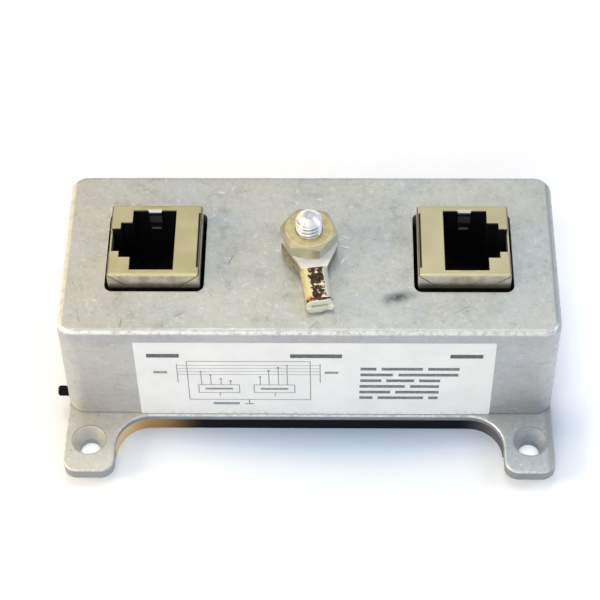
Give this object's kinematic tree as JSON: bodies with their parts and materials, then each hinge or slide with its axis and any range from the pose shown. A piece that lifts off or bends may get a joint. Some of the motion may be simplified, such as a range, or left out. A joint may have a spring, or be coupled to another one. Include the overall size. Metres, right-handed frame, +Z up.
{
  "type": "ethernet surge protector",
  "caption": "Die-cast box with mounting ears, a shielded network socket towards each end of its roof and a ground stud with nut and ring terminal between them.",
  "frame": {"origin": "middle of the footprint, on the surface that the box stands on", "axes": "+X along the box towards the right-hand socket, -Y out of the labelled wall, +Z up along the stud"},
  "size_m": [0.0818, 0.0546, 0.0343],
  "materials": {
    "cast_metal": "die-cast, tumbled, fine scratches and pits",
    "black_moulding": "moulded, satin",
    "sticker_film": "white printed film, satin",
    "nickel_sheet": "nickel-plated sheet, warm tone",
    "port_moulding": "moulded, satin black",
    "contact_metal": "gold-plated wire",
    "board_laminate": "green solder mask",
    "zinc_screw": "zinc-plated",
    "bright_stud": "bright zinc, threaded",
    "yellow_zinc": "yellow zinc-plated steel",
    "tinned_copper": "tinned, brown-black stains on the barrel",
    "strap_metal": "tinned copper strip",
    "tube_ceramic": "ceramic and nickel bands",
    "chip_moulding": "moulded epoxy",
    "fuse_ceramic": "tinned ends",
    "film_sheet": "insulating film"
  },
  "bodies": {
    "root": {"housing": "cast_metal", "base_cover": "black_moulding", "cover_screws": "zinc_screw", "front_label": "sticker_film", "left_socket_shield": "nickel_sheet", "right_socket_shield": "nickel_sheet", "left_socket_body": "port_moulding", "right_socket_body": "port_moulding", "left_contact_carrier": "port_moulding", "right_contact_carrier": "port_moulding", "left_contact_wires": "contact_metal", "right_contact_wires": "contact_metal", "circuit_board": "board_laminate", "board_screws": "zinc_screw", "ground_stud": "bright_stud", "star_washer": "zinc_screw", "ground_strap": "strap_metal", "ring_terminal": "tinned_copper", "flat_washer": "zinc_screw", "front_left_gas_tube": "tube_ceramic", "front_right_gas_tube": "tube_ceramic", "rear_left_gas_tube": "tube_ceramic", "rear_right_gas_tube": "tube_ceramic", "left_suppressor_array": "chip_moulding", "right_suppressor_array": "chip_moulding", "line_fuses": "fuse_ceramic", "insulating_sheet": "film_sheet"},
    "washer": {"lock_washer": "zinc_screw"},
    "nut": {"ground_nut": "yellow_zinc"}
  },
  "joints": [
    {"name": "nut_lift", "type": "slide", "parent": "root", "child": "washer", "axis": [0, 0, 1], "range_m": [0, 0.00556]},
    {"name": "nut_turn", "type": "hinge", "parent": "washer", "child": "nut", "pos_m": [0, 0, 0.0297], "axis": [0, 0, 1], "range_deg": [0, 2521]}
  ],
  "couplings": [
    {"joint": "nut_turn", "follows": "nut_lift", "rad_per_m": 7915.8}
  ]
}
